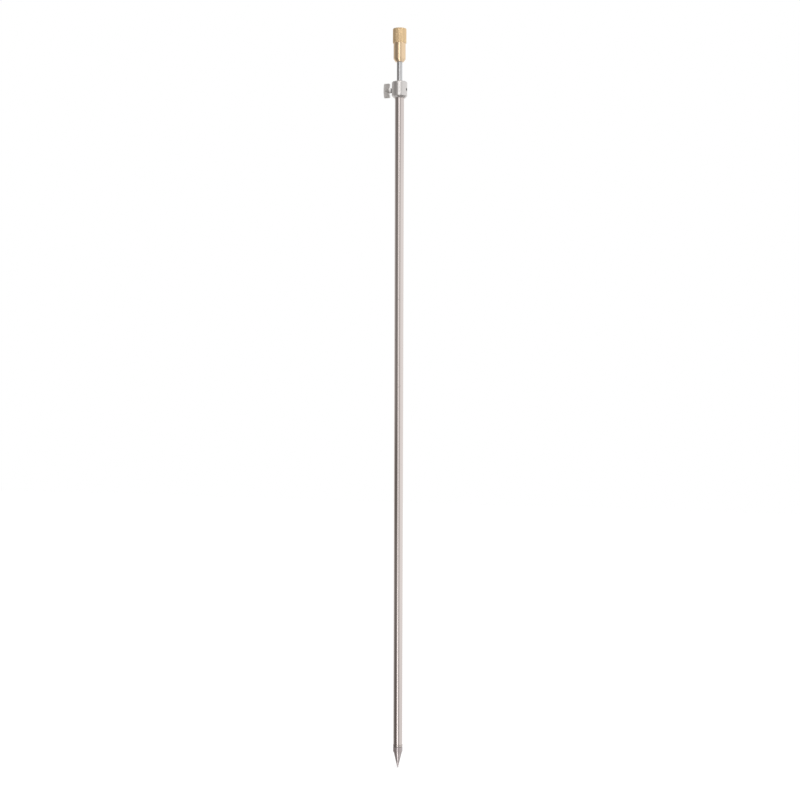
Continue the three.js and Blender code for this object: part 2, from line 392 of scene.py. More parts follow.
# %% [markdown]
# The bright strip is a sheet of its own just inside the tent. Cycles can aim at a small glowing sheet, so
# the thin line on the metal comes out clean and not speckled. It glows more near the ground and above the
# lens.

# %% Bright strip
STRIP_RADIUS = TENT_RADIUS - 0.1
STRIP_STRENGTH = 8.0

strip = shell("bright strip", STRIP_RADIUS, (-18, -9.5, -1), even_angles(-60, 40, 4))
glow = bpy.data.materials.new("bright strip")
glow.use_nodes = True
bench = Bench(glow.node_tree)
height = bench.own_axes()[2]
upwards = (height - stick_middle * MM) / STRIP_RADIUS
downwards = 0 - upwards
level = 0.1625 + upwards.rise(0.17, 0.25) * 0.1 + downwards.rise(0.05, 0.42) * 0.2125
near_foot = downwards.rise(0.29, 0.32) * 0.08 + downwards.rise(0.42, 0.6) * 0.25
level += near_foot * (1 - downwards.rise(0.72, 0.81))
grey = bench.tint(level, (0, 0, 0, 1), (1, 1, 1, 1))
light = bench.node("ShaderNodeEmission", inputs={"Color": grey, "Strength": STRIP_STRENGTH})
bench.node("ShaderNodeOutputMaterial", inputs={"Surface": light})
strip.data.materials.append(glow)

# %% [markdown]
# ## Lamps
#
# Two soft lamps are enough. One stands over the camera and catches the turned rings of the collar and the
# head, which spread a reflection up and down. A broad panel overhead lights the upper edges and gives the
# shadow at the foot. Both are weak, because the white world already lights the stick, and a colour should
# come out about as it is written.

# %% Front lamp and overhead panel
def soft_lamp(name, turn, height, distance, width, tall, watts):
    """A rectangular lamp round the stick by an angle from the camera, which faces the stick's middle."""
    data = bpy.data.lights.new(name, "AREA")
    data.shape = "RECTANGLE"
    data.size, data.size_y, data.energy = width, tall, watts
    lamp = bpy.data.objects.new(name, data)
    bpy.context.scene.collection.objects.link(lamp)
    angle = math.radians(turn)
    out = to_camera * math.cos(angle) + to_right * math.sin(angle)
    lamp.location = out * distance + Vector((0, 0, height))
    facing = Vector((0, 0, stick_middle * MM)) - lamp.location
    lamp.rotation_euler = facing.to_track_quat("-Z", "Y").to_euler()
    lamp.visible_camera = False
    print(name, "at", [round(v, 2) for v in lamp.location], watts, "W")


soft_lamp("front lamp", turn=9, height=2.17, distance=3.1, width=0.6, tall=0.6, watts=9)
soft_lamp("overhead panel", turn=10, height=3.0, distance=0.8, width=1.6, tall=1.6, watts=8)

# %% [markdown]
# ## Finishes
#
# Every visible part of the stick is bare or plated metal. Two things tell one metal from another: its
# colour, which on a metal is the colour of its reflections, and how fine its surface is. Each tool leaves
# its own trace. A lathe leaves rings round the piece, drawing and polishing a tube leaves streaks along
# it, and casting leaves a grain with no direction.
#
# The traces are far finer than a millimetre, so they are made with noise on the piece's own coordinates.
# To get rings, the noise is squeezed along the axis and kept the same across it. To get streaks, it is
# the other way round.

# %% Helpers for finishes
def new_finish(name):
    """A new material, and the bench for its nodes."""
    print("finish", name)
    material = bpy.data.materials.new(name)
    material.use_nodes = True
    return material, Bench(material.node_tree)


def noise(bench, stretch, detail=2.0, shift=(0, 0, 0)):
    """Noise on the piece's own coordinates. The stretch is in grains per metre along each axis."""
    spot = bench.node("ShaderNodeTexCoord", output="Object")
    placed = {"Vector": spot, "Location": shift, "Scale": stretch}
    stretched = bench.node("ShaderNodeMapping", inputs=placed)
    return bench.node("ShaderNodeTexNoise", inputs={"Vector": stretched, "Scale": 1.0, "Detail": detail})


def relief(bench, height, depth, strength=1.0):
    """Small bumps from a height of 0 to 1, of a depth in millimetres."""
    sizes = {"Strength": strength, "Distance": depth * MM, "Height": height}
    return bench.node("ShaderNodeBump", inputs=sizes)


def cover(bench, **sockets):
    """The surface shader, with the finish's values on its sockets."""
    named = {name.replace("_", " ").title().replace("Ior", "IOR"): value for name, value in sockets.items()}
    shader = bench.node("ShaderNodeBsdfPrincipled", inputs=named)
    bench.node("ShaderNodeOutputMaterial", inputs={"Surface": shader})


print("helpers for finishes ready")

# %% [markdown]
# ### Stainless tube
#
# Stainless steel is a warm, slightly pink grey, and takes a high polish. The streaks run the whole length
# of the tube. Near the foot, where it goes into the bank, the polish is a little duller, and grit has
# left fine scratches. Near the collar it is a little darker, where hands hold it. Dried drops have left a
# few specks.

# %% Stainless steel
stainless, bench = new_finish("stainless_tube")
streaks = noise(bench, (2600, 2600, 9), 3.0)
wide_streaks = noise(bench, (420, 420, 2.5), 2.0, (7, 3, 1))
height = bench.own_axes()[2]
worn = 1 - height.rise(0.02, 0.22)
held = height.rise(0.6, 0.73)
scratches = noise(bench, (4200, 4200, 70), 1.0, (3, 1, 2)).rise(0.6, 0.72) * worn
specks = noise(bench, (330, 330, 330), 1.0, (2, 9, 4)).rise(0.74, 0.78)
darker = wide_streaks * 0.4 + streaks * 0.35 + worn * 0.45 + held * 0.38 + scratches * 0.15 + specks * 1.2
cover(
    bench,
    base_color=bench.tint(darker, (0.78, 0.71, 0.676, 1), (0.6, 0.535, 0.518, 1)),
    metallic=1.0,
    roughness=streaks * 0.05 + worn * 0.01 + scratches * 0.04 + specks * 0.12 + 0.12,
    normal=relief(bench, streaks - scratches, 0.001, 0.4),
)

# %% [markdown]
# ### Turned steel
#
# The spike is plain steel, turned to a point and left as the tool left it. It is darker and duller than
# the tube, and the grit of the bank has scuffed it in patches. The narrow groove has shade painted into
# its colour. The band above the groove was polished together with the tube, so it is brighter than the
# rest. Elsewhere a thin clear skin, the shader's coat, puts one crisp line of light on the dull steel.

# %% Turned steel
GROOVE_BOTTOM, GROOVE_TOP = 22.7, 23.5

turned_steel, bench = new_finish("turned_steel")
rings = noise(bench, (0, 0, 5200), 1.0)
scuffs = noise(bench, (700, 700, 520), 3.0)
patches = noise(bench, (240, 240, 160), 2.0, (5, 2, 4)).rise(0.35, 0.68)
height = bench.own_axes()[2]
polished = height.rise((GROOVE_TOP - 0.3) * MM, GROOVE_TOP * MM)
over_groove = height.rise((GROOVE_TOP - 0.15) * MM, (GROOVE_TOP + 0.1) * MM)
# Painted shade: the colour is darkened inside the narrow groove.
painted_groove_shade = height.rise((GROOVE_BOTTOM - 0.1) * MM, (GROOVE_BOTTOM + 0.15) * MM) * (1 - over_groove)
lighter = patches * 0.6 + scuffs * 0.2 + rings * 0.2
turned_grey = bench.tint(lighter, (0.312, 0.257, 0.252, 1), (0.415, 0.35, 0.347, 1))
clean = bench.tint(polished, turned_grey, (0.53, 0.475, 0.45, 1))
# The near-black colour below is the painted shade of the groove.
cover(
    bench,
    base_color=bench.tint(painted_groove_shade * 0.55, clean, (0.08, 0.065, 0.055, 1)),
    metallic=polished * 0.38 + 0.6,
    roughness=(1 - polished) * (patches * -0.05 + scuffs * 0.06 + 0.02) + 0.14,
    coat_weight=1 - polished * 0.7,
    coat_roughness=0.08,
    coat_ior=2.0,
    normal=relief(bench, rings * 0.5 + scuffs * 0.5, 0.005, 0.5),
)

# %% [markdown]
# ### Bright plating
#
# The collar is turned and then plated, so its rings are softened and its colour is a clean grey. The
# rings also stretch a highlight across them, which the shader's anisotropy gives.

# %% Plated collar
plated_steel, bench = new_finish("plated_steel")
rings = noise(bench, (0, 0, 3400), 2.0)
cloud = noise(bench, (260, 260, 260), 3.0)
cover(
    bench,
    base_color=bench.tint(cloud * 0.6 + rings * 0.4, (0.62, 0.593, 0.578, 1), (0.715, 0.69, 0.675, 1)),
    metallic=0.84,
    roughness=rings * 0.05 + cloud * 0.05 + 0.25,
    anisotropic=0.4,
    anisotropic_rotation=0.25,
    normal=relief(bench, rings, 0.006, 0.5),
)

# %% [markdown]
# The cast wing has the same plating over a rougher skin, which shows as a fine grain. Light is painted on
# its outer edge, a highlight is painted on its neck, and shade is painted on its inner edge.

# %% Plated casting
WING_OUTER_EDGE, WING_NECK = -18.5, -12.0

plated_casting, bench = new_finish("plated_casting")
grain = noise(bench, (1900, 1900, 1900), 3.0)
cloud = noise(bench, (330, 330, 330), 2.0)
x = bench.own_axes()[0]
# Painted highlight on the neck, with less metal there.
painted_neck_highlight = x.rise(WING_NECK * MM, (WING_NECK + 0.8) * MM)
# Painted shade along the blade's inner edge, where it meets the hub.
painted_shade_inner_edge = x.rise((WING_NECK - 2.2) * MM, (WING_NECK - 1) * MM) * (1 - painted_neck_highlight)
# Painted light along the blade's outer edge.
painted_light_outer_edge = 1 - x.rise(WING_OUTER_EDGE * MM, (WING_OUTER_EDGE + 4.5) * MM)
grain_and_painted_light = cloud * 0.25 + grain * 0.15 + painted_light_outer_edge * 0.65 - painted_shade_inner_edge * 0.25 + painted_neck_highlight * 0.6
cover(
    bench,
    base_color=bench.tint(grain_and_painted_light, (0.64, 0.61, 0.59, 1), (0.93, 0.9, 0.875, 1)),
    metallic=0.84 - painted_neck_highlight * 0.3,
    roughness=cloud * 0.1 + 0.4,
    normal=relief(bench, grain, 0.008, 0.5),
)

# %% [markdown]
# ### Zinc plating
#
# The rod, the stud and the foot screw are zinc plated. Zinc is bluer than stainless steel, and less
# bright.

# %% Zinc plating
zinc, bench = new_finish("zinc_plated_steel")
streaks = noise(bench, (2200, 2200, 26), 2.0)
cloud = noise(bench, (210, 210, 60), 2.0)
cover(
    bench,
    base_color=bench.tint(cloud * 0.6 + streaks * 0.4, (0.52, 0.52, 0.53, 1), (0.61, 0.605, 0.61, 1)),
    metallic=1.0,
    roughness=streaks * 0.08 + cloud * 0.05 + 0.3,
    normal=relief(bench, streaks, 0.003, 0.5),
)

# %% [markdown]
# ### Brass
#
# The head is turned brass and it shines. The knurled band is yellower, and browner in its grooves, where
# polish and dirt stay. The distance from the axis tells the finish how deep in the knurl a spot lies, so
# the tone follows the real grooves.

# %% Brass
KNURL_RADIUS, KNURL_DEPTH, KNURL_HEIGHT = 7.5, 0.3, 16
knurl_bottom = head_top - KNURL_HEIGHT

brass, bench = new_finish("brass")
rings = noise(bench, (0, 0, 3000), 2.0)
cloud = noise(bench, (380, 380, 300), 3.0)
x, y, z = bench.own_axes()
from_axis = (x * x + y * y).math("SQRT")
band = z.rise((knurl_bottom - 0.1) * MM, (knurl_bottom + 0.1) * MM)
groove = band * (1 - from_axis.rise((KNURL_RADIUS - KNURL_DEPTH) * MM, (KNURL_RADIUS - 0.06) * MM))
turned_brass = bench.tint(cloud * 0.7 + rings * 0.3, (0.78, 0.578, 0.38, 1), (0.86, 0.655, 0.438, 1))
handled_brass = bench.tint(band * 0.5, turned_brass, (0.84, 0.62, 0.33, 1))
cover(
    bench,
    base_color=bench.tint(groove * 0.5, handled_brass, (0.5, 0.3, 0.12, 1)),
    metallic=0.9 - band * 0.15,
    roughness=rings * 0.04 + cloud * 0.04 + 0.14,
    normal=relief(bench, rings, 0.004, 0.5),
)

# %% [markdown]
# ### Black steel and nylon
#
# The grub screw is black oxide, an oily dark skin on steel. The guide bushes inside the tube are plain
# nylon, which isn't a metal, so it has a soft sheen in place of reflections.

# %% Black steel and nylon
black_steel, bench = new_finish("black_steel")
grain = noise(bench, (1500, 1500, 1500), 2.0)
cover(
    bench,
    base_color=bench.tint(grain, (0.17, 0.17, 0.174, 1), (0.26, 0.26, 0.26, 1)),
    metallic=0.8,
    roughness=grain * 0.15 + 0.34,
    normal=relief(bench, grain, 0.012, 0.6),
)

nylon, bench = new_finish("nylon")
grain = noise(bench, (1200, 1200, 1200), 3.0)
cover(
    bench,
    base_color=bench.tint(grain, (0.03, 0.03, 0.032, 1), (0.055, 0.055, 0.055, 1)),
    metallic=0.0,
    roughness=grain * 0.12 + 0.46,
    normal=relief(bench, grain, 0.01, 0.5),
)

# %% [markdown]
# ## A lathe in code
#
# A turned piece is an outline that goes once round an axis. The outline is a list of points: the distance
# from the axis, and the height.
#
# No real edge is perfectly sharp, and a hair of rounding is what catches the light. `eased` puts a small
# arc at each corner. It also puts a ring on the flat just beside the arc, which keeps the shading of the
# long flats straight.

# %% Eased corners
BESIDE_ARC = 1.4


def eased(outline, ease=0.12, steps=3):
    """Rounds the corners of an outline. The ends on the axis stay as they are."""
    closed = outline[0] == outline[-1]
    corners = [Vector(point) for point in (outline[:-1] if closed else outline)]
    smooth = []
    for number, corner in enumerate(corners):
        if not closed and number in (0, len(corners) - 1):
            smooth.append(tuple(corner))
            continue
        back = corners[number - 1] - corner
        on = corners[(number + 1) % len(corners)] - corner
        reach = min(ease, back.length / 3, on.length / 3)
        back, on = back.normalized() * reach, on.normalized() * reach
        arc = [corner + back * BESIDE_ARC]
        for step in range(steps + 1):
            t = step / steps
            arc.append(corner + back * (1 - t) ** 2 + on * t**2)
        arc.append(corner + on * BESIDE_ARC)
        smooth += [tuple(point) for point in arc]
    return smooth + smooth[:1] if closed else smooth


print("a square corner becomes", len(eased([(0, 0), (1, 0), (1, 1)])) - 2, "points")

# %% [markdown]
# A thread, a knurl or a drilled hole needs rows of points that the corners don't give. `divided` adds
# them only between two heights and two distances from the axis, so the rest of the piece stays light.

# %% Divided outlines
def divided(outline, low, high, step, inner=0.0, outer=math.inf):
    """Adds points to the parts of an outline between two heights and two distances from the axis."""
    fine = [outline[0]]
    for (r0, z0), (r1, z1) in zip(outline, outline[1:]):
        if min(z0, z1) >= low and max(z0, z1) <= high and min(r0, r1) >= inner and max(r0, r1) <= outer:
            count = max(1, round(abs(z1 - z0) / step))
            fine += [(r0 + (r1 - r0) * k / count, z0 + (z1 - z0) * k / count) for k in range(1, count)]
        fine.append((r1, z1))
    return fine


print("a line of 2 in steps of 0.5 has", len(divided([(1, 0), (1, 2)], 0, 2, 0.5)), "points")

# %% [markdown]
# `turned` takes an outline once round the axis. The outline runs anticlockwise, so that the faces point
# outwards. Blender's Spin tool could do this, but it leaves a seam and doubled poles to clean up, so the
# rings are joined directly here.

# %% Lathe
def turned(name, outline, facets):
    """A new object made by taking an outline in millimetres once round the Z axis."""
    closed = outline[0] == outline[-1]
    points, rings = [], []
    for radius, height in outline[:-1] if closed else outline:
        count = 1 if radius < 1e-6 else facets
        rings.append(range(len(points), len(points) + count))
        for k in range(count):
            angle = math.tau * k / facets
            points.append((radius * math.cos(angle) * MM, radius * math.sin(angle) * MM, height * MM))
    if closed:
        rings.append(rings[0])
    faces = []
    for lower, upper in zip(rings, rings[1:]):
        for k in range(facets):
            n = (k + 1) % facets
            below = [lower[k % len(lower)], lower[n % len(lower)]]
            above = [upper[n % len(upper)], upper[k % len(upper)]]
            corners = list(dict.fromkeys(below + above))
            if len(corners) > 2:
                faces.append(corners)
    mesh = bpy.data.meshes.new(name)
    mesh.from_pydata(points, [], faces)
    mesh.shade_smooth()
    piece = bpy.data.objects.new(name, mesh)
    bpy.context.scene.collection.objects.link(piece)
    return piece


print("lathe ready")

# %% [markdown]
# ## Tools that finish a piece
#
# A modifier is worked out once and its result becomes a plain mesh, so nothing is left live on a piece.
# The thumb screw and the grub screw lie across the stick: they are turned upright and then laid over.
# `fit` ends each piece: it gives it its finish, lets it ride on its CAD body, and hides the CAD node that
# it stands for.

# %% Finishing tools
SHARP_ANGLE = math.radians(40)


def settle(piece):
    """Makes the result of a piece's modifiers its own mesh."""
    shaped = bpy.data.meshes.new_from_object(piece.evaluated_get(bpy.context.evaluated_depsgraph_get()))
    piece.modifiers.clear()
    old, piece.data = piece.data, shaped
    bpy.data.meshes.remove(old)


def laid_over(side, height):
    """Turns a shape along Z so that it points out along -X (side -1) or +X (side 1) at a height."""
    return Matrix.Translation((0, 0, height * MM)) @ Matrix.Rotation(side * math.pi / 2, 4, "Y")


def plug(radius, low, high):
    """The outline of a plain cylinder."""
    return [(0, low), (radius, low), (radius, high), (0, high)]


def drill(piece, outline, facets, place=Matrix.Identity(4)):
    """Takes a turned shape out of a piece."""
    bit = turned("bit", outline, facets)
    bit.data.transform(place)
    cutting = piece.modifiers.new("drill", "BOOLEAN")
    cutting.operation, cutting.solver, cutting.object = "DIFFERENCE", "EXACT", bit
    settle(piece)
    bpy.data.objects.remove(bit)


def fit(piece, finish, body, node):
    """Gives a piece its finish and body, and hides the CAD node that it stands for."""
    piece.data.materials.clear()
    piece.data.materials.append(finish)
    piece.data.shade_smooth()
    piece.data.set_sharp_from_angle(angle=SHARP_ANGLE)
    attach(piece, body)
    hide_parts(node)
    piece.data.calc_loop_triangles()
    print(piece.name, len(piece.data.loop_triangles), "triangles")


print("finishing tools ready")

# %% [markdown]
# ## The tube
#
# A 10 mm stainless tube with a 1 mm wall. Near the top is the hole that lets the thumb screw's pad
# through to the rod.

# %% Tube
TUBE_RADIUS, TUBE_BORE = 5.0, 4.0
PAD_HOLE, HOLE_FACETS = 2.8, 48

tube_outline = [
    (TUBE_BORE, tube_bottom),
    (TUBE_RADIUS, tube_bottom),
    (TUBE_RADIUS, tube_top),
    (TUBE_BORE, tube_top),
    (TUBE_BORE, tube_bottom),
]
tube_outline = divided(eased(tube_outline, 0.18), clamp_height - 4, clamp_height + 4, 1)
tube = turned("tube", tube_outline, 128)
drill(tube, plug(PAD_HOLE, TUBE_BORE - 1, TUBE_RADIUS + 1), HOLE_FACETS, laid_over(-1, clamp_height))
fit(tube, stainless, "stick", "outer_tube")

# %% [markdown]
# ## The spike
#
# The point is turned from bar: a long cone, a shoulder with one narrow groove, and a spigot that goes up
# into the tube. Soil blunts the tip, so it ends in a small flat and not in a needle.

# %% Spike
SHOULDER_RADIUS, GROOVE_RADIUS, SPIGOT_RADIUS = 5.35, 5.1, 3.95
shoulder_top = tube_bottom - 0.05
spike_outline = [
    (0, 0),
    (0.3, 0),
    (4.8, 17.75),
    (SHOULDER_RADIUS, 17.8),
    (SHOULDER_RADIUS, GROOVE_BOTTOM),
    (GROOVE_RADIUS, GROOVE_BOTTOM + 0.2),
    (GROOVE_RADIUS, GROOVE_TOP - 0.2),
    (SHOULDER_RADIUS, GROOVE_TOP),
    (SHOULDER_RADIUS, shoulder_top),
    (SPIGOT_RADIUS, shoulder_top),
    (SPIGOT_RADIUS, spigot_top - 0.6),
    (SPIGOT_RADIUS - 0.6, spigot_top),
    (0, spigot_top),
]
spike = turned("spike", divided(eased(spike_outline, 0.08), 0, 18, 1), 128)
fit(spike, turned_steel, "stick", "ground_spike")

# %% [markdown]
# ## The collar
#
# The collar is pushed over the top of the tube. It is turned with a small chamfer above and a broad one
# below, bored for the tube and the rod, and drilled from both sides: a threaded hole for the thumb screw
# at the left, and one for the grub screw at the right.

# %% Collar
COLLAR_RADIUS, COLLAR_BORE, ROD_HOLE = 8.5, 5.05, 3.1
FOOT_CHAMFER, TOP_CHAMFER = 2.2, 1
ledge = collar_top - 3.3
collar_outline = [
    (COLLAR_BORE, collar_bottom),
    (COLLAR_RADIUS - FOOT_CHAMFER, collar_bottom),
    (COLLAR_RADIUS, collar_bottom + FOOT_CHAMFER),
    (COLLAR_RADIUS, collar_top - TOP_CHAMFER),
    (COLLAR_RADIUS - TOP_CHAMFER, collar_top),
    (ROD_HOLE, collar_top),
    (ROD_HOLE, ledge),
    (COLLAR_BORE, ledge),
    (COLLAR_BORE, collar_bottom),
]
collar_outline = divided(eased(collar_outline, 0.2, 4), collar_bottom + 2, collar_top - 1, 0.8)
collar = turned("collar", collar_outline, 192)
face = COLLAR_RADIUS + 0.05
for side, hole, countersink in ((-1, 2.6, 0.35), (1, 1.6, 0.25)):
    mouth = hole + countersink
    bit = [(0, 4), (hole, 4), (hole, face - countersink), (mouth, face), (mouth, 10), (0, 10)]
    drill(collar, bit, HOLE_FACETS, laid_over(side, clamp_height))
fit(collar, plated_steel, "stick", "lock_collar")

# %% [markdown]
# ## The grub screw
#
# A headless screw with a hexagon socket. It sits a little below the collar's face.

# %% Grub screw
GRUB_RADIUS = 1.5
KEY_WIDTH, KEY_DEPTH = 1.5, 1.3
grub_start, grub_end = span("collar_grub_screw", "x")
grub_outline = [
    (0, grub_start),
    (GRUB_RADIUS - 0.35, grub_start),
    (GRUB_RADIUS, grub_start + 0.35),
    (GRUB_RADIUS, grub_end - 0.2),
    (GRUB_RADIUS - 0.2, grub_end),
    (0, grub_end),
]
grub_screw = turned("grub_screw", eased(grub_outline, 0.06), 48)
hexagon_corner = KEY_WIDTH / 2 / math.cos(math.pi / 6)
drill(grub_screw, plug(hexagon_corner, grub_end - KEY_DEPTH, grub_end + 1), 6)
grub_screw.data.transform(laid_over(1, clamp_height))
fit(grub_screw, black_steel, "stick", "collar_grub_screw")

# %% [markdown]
# ## The rod
#
# A 6 mm rod. Its lower end is turned down for the guide bush and drilled for the screw that keeps the
# bush on. Its upper end goes up into the head.

# %% Rod
ROD_RADIUS, ROD_FOOT_RADIUS, FOOT_SCREW_HOLE = 3.0, 2.2, 1.55
hole_end, foot_step = rod_bottom + 8.3, rod_bottom + 14.05
rod_outline = [
    (0, hole_end),
    (FOOT_SCREW_HOLE, hole_end),
    (FOOT_SCREW_HOLE, rod_bottom),
    (ROD_FOOT_RADIUS, rod_bottom),
    (ROD_FOOT_RADIUS, foot_step),
    (ROD_RADIUS, foot_step),
    (ROD_RADIUS, rod_top - 0.5),
    (ROD_RADIUS - 0.5, rod_top),
    (0, rod_top),
]
rod = turned("rod", eased(rod_outline, 0.1), 96)
fit(rod, zinc, "rod", "inner_rod")

# %% [markdown]
# ## Threads and knurls with Geometry Nodes
#
# A thread and a knurl are both rules: how deep a spot on a cylinder is cut depends only on its angle and
# its height. Geometry Nodes can work that out for every point of a dense turned mesh at once, and the
# sizes stay named inputs of the tree. Both trees start and end in the same way, so that part is written
# once.

# %% Tree tools
def new_tree(name, inputs):
    """A Geometry Nodes tree with named inputs, its bench, and a wire for each input."""
    tree = bpy.data.node_groups.new(name, "GeometryNodeTree")
    tree.interface.new_socket(name="Geometry", in_out="OUTPUT", socket_type="NodeSocketGeometry")
    tree.interface.new_socket(name="Geometry", in_out="INPUT", socket_type="NodeSocketGeometry")
    for label in inputs:
        tree.interface.new_socket(name=label, in_out="INPUT", socket_type="NodeSocketFloat")
    tree.interface.new_socket(name="Material", in_out="INPUT", socket_type="NodeSocketMaterial")
    bench = Bench(tree)
    start = bench.node("NodeGroupInput")
    return tree, bench, {label: start.of(label) for label in ("Geometry", *inputs, "Material")}


def end_tree(bench, wires, x, y, z, radius, new_radius):
    """Moves each point to its new distance from the axis, and closes the tree."""
    scale = new_radius / radius.most(1e-6)
    spot = bench.node("ShaderNodeCombineXYZ", inputs={0: x * scale, 1: y * scale, 2: z})
    moved = bench.node("GeometryNodeSetPosition", inputs={"Geometry": wires["Geometry"], "Position": spot})
    real = bench.node("GeometryNodeRealizeInstances", inputs={"Geometry": moved})
    done = bench.node("GeometryNodeSetMaterial", inputs={"Geometry": real, "Material": wires["Material"]})
    bench.node("NodeGroupOutput", inputs={"Geometry": done})


def run_tree(piece, tree, **values):
    """Runs a tree on a piece, with inputs set by their identifiers, and keeps the result as its mesh."""
    modifier = piece.modifiers.new(tree.name, "NODES")
    modifier.node_group = tree
    for item in tree.interface.items_tree:
        key = item.name.lower().replace(" ", "_")
        if item.item_type == "SOCKET" and item.in_out == "INPUT" and key in values:
            modifier[item.identifier] = values[key]
    settle(piece)


print("tree tools ready")

# %% [markdown]
# For a thread, one number counts turns: the height over the pitch, less the angle. Its fraction runs from
# 0 to 1 across each thread form. Only points on the threaded wall move, and the cut fades in and out over
# one turn at each end, as a real thread does.

# %% Thread tree
WALL_TOLERANCE = 0.03 * MM

thread_tree, bench, wires = new_tree("thread", ["Pitch", "Crest", "Root", "Start", "End"])
x, y, z = bench.axes(bench.node("GeometryNodeInputPosition"))
radius = (x * x + y * y).math("SQRT")
turns = z / wires["Pitch"] - x.math("ARCTAN2", y, x) / math.tau
form = (turns.math("FRACT") * 2 - 1).math("ABSOLUTE")
cut_depth = form.rise(0.2, 0.86)
on_wall = radius.math("COMPARE", radius, wires["Crest"], WALL_TOLERANCE)
fade_in = ((z - wires["Start"]) / wires["Pitch"]).clamped()
fade_out = ((wires["End"] - z) / wires["Pitch"]).clamped()
shift = (wires["Root"] - wires["Crest"]) * cut_depth * on_wall * fade_in * fade_out
end_tree(bench, wires, x, y, z, radius, radius + shift)
print("tree:", thread_tree.name)

# %% [markdown]
# For a diamond knurl, two numbers count grooves, in opposite directions round the head. A spot is in a
# groove where either of them is near a whole number.

# %% Knurl tree
knurl_inputs = ["Starts", "Slant", "Depth", "Radius", "Bottom", "Top"]
knurl_tree, bench, wires = new_tree("diamond knurl", knurl_inputs)
x, y, z = bench.axes(bench.node("GeometryNodeInputPosition"))
radius = (x * x + y * y).math("SQRT")
around = x.math("ARCTAN2", y, x) * wires["Starts"] / math.tau
along = z * wires["Slant"].math("TANGENT") * wires["Starts"] / (wires["Radius"] * math.tau)


def nearness(count):
    """1 in the groove, at a whole number, and 0 halfway to the next."""
    return (count.math("FRACT") * 2 - 1).math("ABSOLUTE")


hill = ((1 - nearness(around + along).most(nearness(around - along))) * 2).least(1)
inside = z.math("GREATER_THAN", z, wires["Bottom"]) * z.math("LESS_THAN", z, wires["Top"])
cut_radius = radius.least(wires["Radius"] - wires["Depth"] * (1 - hill))
end_tree(bench, wires, x, y, z, radius, radius + (cut_radius - radius) * inside)
print("tree:", knurl_tree.name)

# %% [markdown]
# ## The brass head
#
# The head is turned from one bar of brass. Its foot is coned in towards the rod. Its upper part is left
# wider and rolled with a diamond knurl, so that wet fingers can turn it. The socket on top takes the stem
# of a rod rest: a 3/8 inch thread with 20 turns to the inch, which is a pitch of 1.27 mm.
#
# The outline gets a row every quarter of a millimetre along the knurl, and closer rows along the thread,
# so that the diamonds and the ridges have points to move.

# %% Head outline
HEAD_RADIUS, ROD_SOCKET_RADIUS, ROD_SOCKET_DEPTH = 6.7, 3.05, 14
SOCKET_RADIUS, SOCKET_ROOT, SOCKET_PITCH, SOCKET_DEPTH = 4.15, 4.76, 1.27, 18
KNURL_STARTS, KNURL_SLANT = 24.0, math.radians(30)
socket_floor = head_top - SOCKET_DEPTH
head_outline = [
    (0, head_bottom + ROD_SOCKET_DEPTH),
    (ROD_SOCKET_RADIUS, head_bottom + ROD_SOCKET_DEPTH),
    (ROD_SOCKET_RADIUS, head_bottom),
    (HEAD_RADIUS - 2.1, head_bottom),
    (HEAD_RADIUS, head_bottom + 3),
    (HEAD_RADIUS, knurl_bottom),
    (KNURL_RADIUS - 0.2, knurl_bottom),
    (KNURL_RADIUS, knurl_bottom + 0.2),
    (KNURL_RADIUS, head_top - 0.5),
    (KNURL_RADIUS - 0.5, head_top),
    (4.9, head_top),
    (SOCKET_RADIUS, head_top - 0.75),
    (SOCKET_RADIUS, socket_floor),
    (0, socket_floor - 1.2),
]
head_outline = divided(eased(head_outline, 0.14), knurl_bottom, head_top, 0.26, HEAD_RADIUS)
head_outline = divided(head_outline, socket_floor, head_top, 0.16, outer=SOCKET_RADIUS + 0.01)
head = turned("head", head_outline, 360)
print("head outline:", len(head_outline), "rows")

# %% [markdown]
# The knurl is rolled first and the thread is cut second. The trees count in metres, as Blender does.

# %% Knurl and thread of the head
run_tree(
    head,
    knurl_tree,
    starts=KNURL_STARTS,
    slant=KNURL_SLANT,
    depth=KNURL_DEPTH * MM,
    radius=KNURL_RADIUS * MM,
    bottom=knurl_bottom * MM,
    top=head_top * MM,
    material=brass,
)
run_tree(
    head,
    thread_tree,
    pitch=SOCKET_PITCH * MM,
    crest=SOCKET_RADIUS * MM,
    root=SOCKET_ROOT * MM,
    start=(socket_floor + 0.8) * MM,
    end=(head_top + 0.4) * MM,
    material=brass,
)
fit(head, brass, "rod", "screw_head")

# %% [markdown]
# ## The thumb screw's stud
#
# An M5 screw with a pitch of 0.8 mm. Its plain shank is cast into the wing, and its tip is hollowed for
# the peg of the pad.

# %% Stud
STUD_RADIUS, STUD_ROOT, STUD_PITCH, SHANK_RADIUS = 2.5, 2.06, 0.8, 1.25
PEG_HOLE_RADIUS, PEG_HOLE_DEPTH = 0.9, 1.5
stud_end, stud_start = (-value for value in span("thumb_screw_stud", "x"))
wing_outer, wing_neck = (-value for value in span("thumb_screw_wing", "x"))
thread_end = wing_neck - 0.05
peg_hole_end = stud_start + PEG_HOLE_DEPTH
stud_outline = [
    (0, peg_hole_end),
    (PEG_HOLE_RADIUS, peg_hole_end),
    (PEG_HOLE_RADIUS, stud_start),
    (STUD_RADIUS - 0.4, stud_start),
    (STUD_RADIUS, stud_start + 0.4),
    (STUD_RADIUS, thread_end),
    (SHANK_RADIUS, thread_end),
    (SHANK_RADIUS, stud_end),
    (0, stud_end),
]
stud = turned("stud", divided(eased(stud_outline, 0.05), stud_start, thread_end, 0.1), 64)
run_tree(
    stud,
    thread_tree,
    pitch=STUD_PITCH * MM,
    crest=STUD_RADIUS * MM,
    root=STUD_ROOT * MM,
    start=stud_start * MM,
    end=thread_end * MM,
    material=zinc,
)
stud.data.transform(laid_over(-1, clamp_height))
